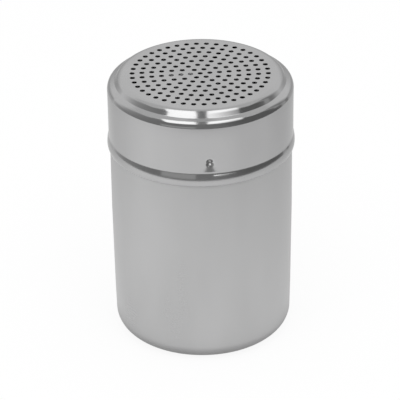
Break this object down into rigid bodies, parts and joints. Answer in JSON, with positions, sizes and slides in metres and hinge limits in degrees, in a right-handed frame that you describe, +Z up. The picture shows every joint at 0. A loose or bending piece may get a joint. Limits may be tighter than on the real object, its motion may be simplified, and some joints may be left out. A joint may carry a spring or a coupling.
{
  "type": "spice shaker dispenser",
  "caption": "Round stainless steel shaker: a drawn cup with a slight taper and a perforated lid with a rolled bead that twists onto it.",
  "frame": {"origin": "middle of the cup's flat base, on the shaker's axis", "axes": "+Z up along the shaker's axis, -Y towards the front, where one of the lid's two pips is 5 degrees to the right of the middle, +X to the right as seen from the front"},
  "size_m": [0.0722, 0.0722, 0.1079],
  "materials": {
    "cup_steel": "satin",
    "lid_steel": "satin"
  },
  "bodies": {
    "cup": {"cup": "cup_steel"},
    "lid": {"lid": "lid_steel"}
  },
  "joints": [
    {"name": "lid_twist", "type": "hinge", "parent": "cup", "child": "lid", "pos_m": [0, 0, 0.09], "axis": [0, 0, 1], "range_deg": [0, 35]}
  ]
}
